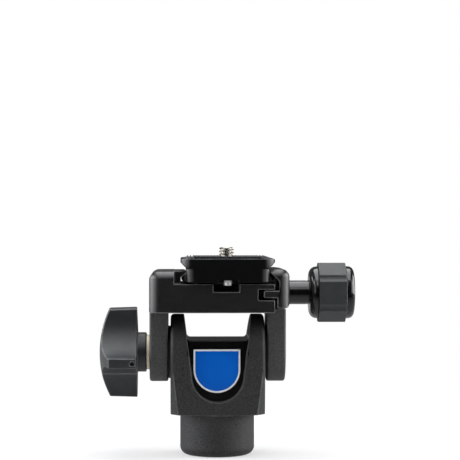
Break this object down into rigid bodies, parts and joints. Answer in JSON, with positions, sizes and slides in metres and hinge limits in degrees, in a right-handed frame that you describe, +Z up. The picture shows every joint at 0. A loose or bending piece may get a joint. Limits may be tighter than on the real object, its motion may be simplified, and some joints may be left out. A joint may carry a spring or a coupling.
{
  "type": "monopod tilt head",
  "caption": "Tilt head for a monopod: a threaded base with a forked clamp that tilts on a friction axle and grips a dovetail quick release plate with a camera screw.",
  "frame": {"origin": "mouth of the base thread, in the middle of the foot's underside", "axes": "+X along the tilt axle towards the clamp knob, +Y away from the badge, +Z up towards the camera screw"},
  "size_m": [0.1068, 0.05, 0.0865],
  "materials": {
    "cast_black": "fine textured black powder coat",
    "anodised_black": "satin black anodised",
    "steel": "bright machined steel",
    "brass": "pale brass, satin",
    "badge_silver": "satin silver",
    "badge_blue": "blue enamel",
    "slip_plastic": "black slip plastic",
    "knob_plastic": "satin black moulded plastic",
    "grip_rubber": "dark grey moulded rubber",
    "gloss_black": "gloss black",
    "pad_rubber": "dark grey ribbed rubber",
    "spring_steel": "spring wire",
    "chrome": "bright chrome"
  },
  "bodies": {
    "base": {"base_yoke": "cast_black", "thread_insert": "steel", "badge_plate": "badge_silver", "badge_enamel": "badge_blue", "axle_bush_left": "slip_plastic", "axle_bush_right": "slip_plastic", "friction_washer_left": "slip_plastic", "friction_washer_right": "slip_plastic"},
    "fork": {"tilt_fork": "cast_black", "axle_bolt": "steel", "clamp_screw_insert": "brass", "jaw_spring_front": "spring_steel", "jaw_spring_rear": "spring_steel"},
    "thrust_washer": {"thrust_washer": "brass"},
    "tilt_knob": {"tilt_knob": "knob_plastic", "tilt_knob_nut": "brass", "tilt_knob_grub_screw": "steel"},
    "jaw": {"moving_jaw": "cast_black", "guide_pin_front": "steel", "guide_pin_rear": "steel", "clamp_knob_washer": "slip_plastic"},
    "clamp_knob": {"clamp_knob_stem": "gloss_black", "clamp_knob_grip": "grip_rubber", "clamp_knob_cap": "gloss_black", "clamp_screw": "steel"},
    "plate": {"plate_body": "anodised_black", "plate_pad": "pad_rubber", "stop_screw_front": "chrome", "stop_screw_rear": "chrome"},
    "screw_carriage": {"camera_screw_washer": "steel"},
    "camera_screw": {"camera_screw": "steel"}
  },
  "joints": [
    {"name": "tilt", "type": "hinge", "parent": "base", "child": "fork", "pos_m": [0, 0, 0.0427], "axis": [1, 0, 0], "range_deg": [-90, 90]},
    {"name": "tilt_knob_travel", "type": "slide", "parent": "fork", "child": "thrust_washer", "axis": [-1, 0, 0], "range_m": [0, 0.000625]},
    {"name": "tilt_knob_turn", "type": "hinge", "parent": "thrust_washer", "child": "tilt_knob", "pos_m": [-0.04, 0, 0.0427], "axis": [-1, 0, 0], "range_deg": [0, 182]},
    {"name": "jaw_slide", "type": "slide", "parent": "fork", "child": "jaw", "axis": [1, 0, 0], "range_m": [0, 0.004]},
    {"name": "clamp_knob_turn", "type": "hinge", "parent": "jaw", "child": "clamp_knob", "pos_m": [0.045, 0, 0.0676], "axis": [1, 0, 0], "range_deg": [0, 1820]},
    {"name": "plate_slide", "type": "slide", "parent": "fork", "child": "plate", "axis": [0, 1, 0], "range_m": [-0.005, 0.005]},
    {"name": "camera_screw_slide", "type": "slide", "parent": "plate", "child": "screw_carriage", "axis": [0, 1, 0], "range_m": [-0.006, 0.006]},
    {"name": "camera_screw_turn", "type": "hinge", "parent": "screw_carriage", "child": "camera_screw", "pos_m": [0.0039, 0, 0.078], "axis": [0, 0, 1], "continuous": true}
  ],
  "couplings": [
    {"joint": "tilt_knob_turn", "follows": "tilt_knob_travel", "rad_per_m": 5026.5},
    {"joint": "clamp_knob_turn", "follows": "jaw_slide", "rad_per_m": 7854}
  ]
}
